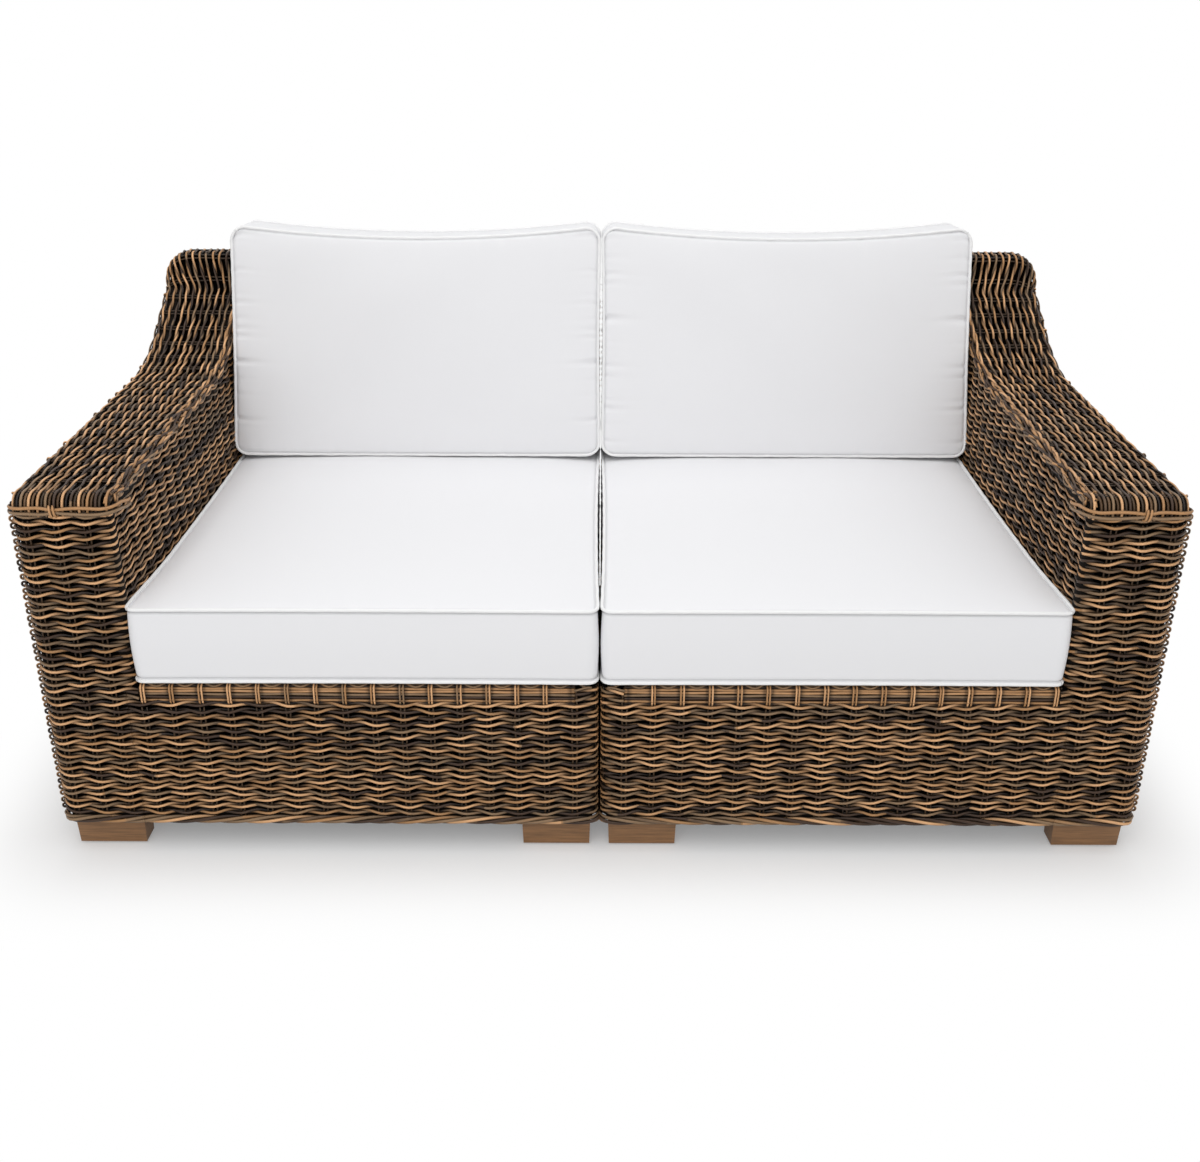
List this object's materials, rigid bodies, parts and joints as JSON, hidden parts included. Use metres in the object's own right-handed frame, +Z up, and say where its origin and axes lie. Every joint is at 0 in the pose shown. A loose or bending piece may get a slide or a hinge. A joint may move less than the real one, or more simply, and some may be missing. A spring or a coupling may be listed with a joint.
{
  "type": "patio loveseat",
  "caption": "Wicker patio loveseat in two push-together modules, each with one arm, a boxed seat cushion and a leaning back cushion, on wooden block feet.",
  "frame": {"origin": "middle of the bounding box's bottom, on the floor", "axes": "+X to the right seen from the front, the front faces -Y, +Z up"},
  "size_m": [1.85, 0.98, 0.9236],
  "materials": {
    "resin_wicker": "woven round resin strands in mixed browns",
    "frame_aluminium": "dark powder coat",
    "foot_wood": "brown stain, satin",
    "glide_plastic": "moulded, matt",
    "zinc_steel": "zinc plated",
    "canvas": "fine woven canvas, near white",
    "piping_cord": "self piping, white",
    "foam": "open-cell foam",
    "zip_tape": "woven tape with plastic teeth"
  },
  "bodies": {
    "left_module": {"connector_jaws": "zinc_steel", "jaw_screws": "zinc_steel", "left_apron_weave": "resin_wicker", "left_arm_frame": "frame_aluminium", "left_arm_front_weave": "resin_wicker", "left_arm_inner_weave": "resin_wicker", "left_arm_top_weave": "resin_wicker", "left_back_frame": "frame_aluminium", "left_back_inner_weave": "resin_wicker", "left_back_outer_weave": "resin_wicker", "left_back_top_weave": "resin_wicker", "left_base_frame": "frame_aluminium", "left_feet": "foot_wood", "left_foot_glides": "glide_plastic", "left_foot_screws": "zinc_steel", "left_inner_side_weave": "resin_wicker", "left_outer_side_weave": "resin_wicker", "left_seat_frame": "frame_aluminium", "left_seat_slats": "frame_aluminium", "left_wrapped_seat_rail": "resin_wicker"},
    "right_module": {"blade_screws": "zinc_steel", "connector_blades": "zinc_steel", "right_apron_weave": "resin_wicker", "right_arm_frame": "frame_aluminium", "right_arm_front_weave": "resin_wicker", "right_arm_inner_weave": "resin_wicker", "right_arm_top_weave": "resin_wicker", "right_back_frame": "frame_aluminium", "right_back_inner_weave": "resin_wicker", "right_back_outer_weave": "resin_wicker", "right_back_top_weave": "resin_wicker", "right_base_frame": "frame_aluminium", "right_feet": "foot_wood", "right_foot_glides": "glide_plastic", "right_foot_screws": "zinc_steel", "right_inner_side_weave": "resin_wicker", "right_outer_side_weave": "resin_wicker", "right_seat_frame": "frame_aluminium", "right_seat_slats": "frame_aluminium", "right_wrapped_seat_rail": "resin_wicker"},
    "left_back_cushion": {"left_back_cushion_cover": "canvas", "left_back_cushion_foam_core": "foam", "left_back_cushion_piping": "piping_cord", "left_back_cushion_zip_tape": "zip_tape"},
    "left_back_zip_slider": {"left_back_cushion_zip_slider": "zinc_steel"},
    "left_seat_cushion": {"left_seat_cushion_cover": "canvas", "left_seat_cushion_foam_core": "foam", "left_seat_cushion_piping": "piping_cord", "left_seat_cushion_zip_tape": "zip_tape"},
    "left_seat_zip_slider": {"left_seat_cushion_zip_slider": "zinc_steel"},
    "right_back_cushion": {"right_back_cushion_cover": "canvas", "right_back_cushion_foam_core": "foam", "right_back_cushion_piping": "piping_cord", "right_back_cushion_zip_tape": "zip_tape"},
    "right_back_zip_slider": {"right_back_cushion_zip_slider": "zinc_steel"},
    "right_seat_cushion": {"right_seat_cushion_cover": "canvas", "right_seat_cushion_foam_core": "foam", "right_seat_cushion_piping": "piping_cord", "right_seat_cushion_zip_tape": "zip_tape"},
    "right_seat_zip_slider": {"right_seat_cushion_zip_slider": "zinc_steel"}
  },
  "joints": [
    {"name": "module_slide", "type": "slide", "parent": "left_module", "child": "right_module", "axis": [1, 0, 0], "range_m": [0, 0.3]},
    {"name": "left_seat_cushion_slide", "type": "slide", "parent": "left_module", "child": "left_seat_cushion", "axis": [0, -1, 0], "range_m": [0, 0.8]},
    {"name": "left_back_cushion_lift", "type": "slide", "parent": "left_module", "child": "left_back_cushion", "axis": [0, 0.165, 0.9863], "range_m": [0, 0.45]},
    {"name": "left_seat_zip_slide", "type": "slide", "parent": "left_seat_cushion", "child": "left_seat_zip_slider", "axis": [1, 0, 0], "range_m": [0, 0.57]},
    {"name": "left_back_zip_slide", "type": "slide", "parent": "left_back_cushion", "child": "left_back_zip_slider", "axis": [1, 0, 0], "range_m": [0, 0.56]},
    {"name": "right_seat_cushion_slide", "type": "slide", "parent": "right_module", "child": "right_seat_cushion", "axis": [0, -1, 0], "range_m": [0, 0.8]},
    {"name": "right_back_cushion_lift", "type": "slide", "parent": "right_module", "child": "right_back_cushion", "axis": [0, 0.165, 0.9863], "range_m": [0, 0.45]},
    {"name": "right_seat_zip_slide", "type": "slide", "parent": "right_seat_cushion", "child": "right_seat_zip_slider", "axis": [-1, 0, 0], "range_m": [0, 0.57]},
    {"name": "right_back_zip_slide", "type": "slide", "parent": "right_back_cushion", "child": "right_back_zip_slider", "axis": [-1, 0, 0], "range_m": [0, 0.56]}
  ]
}
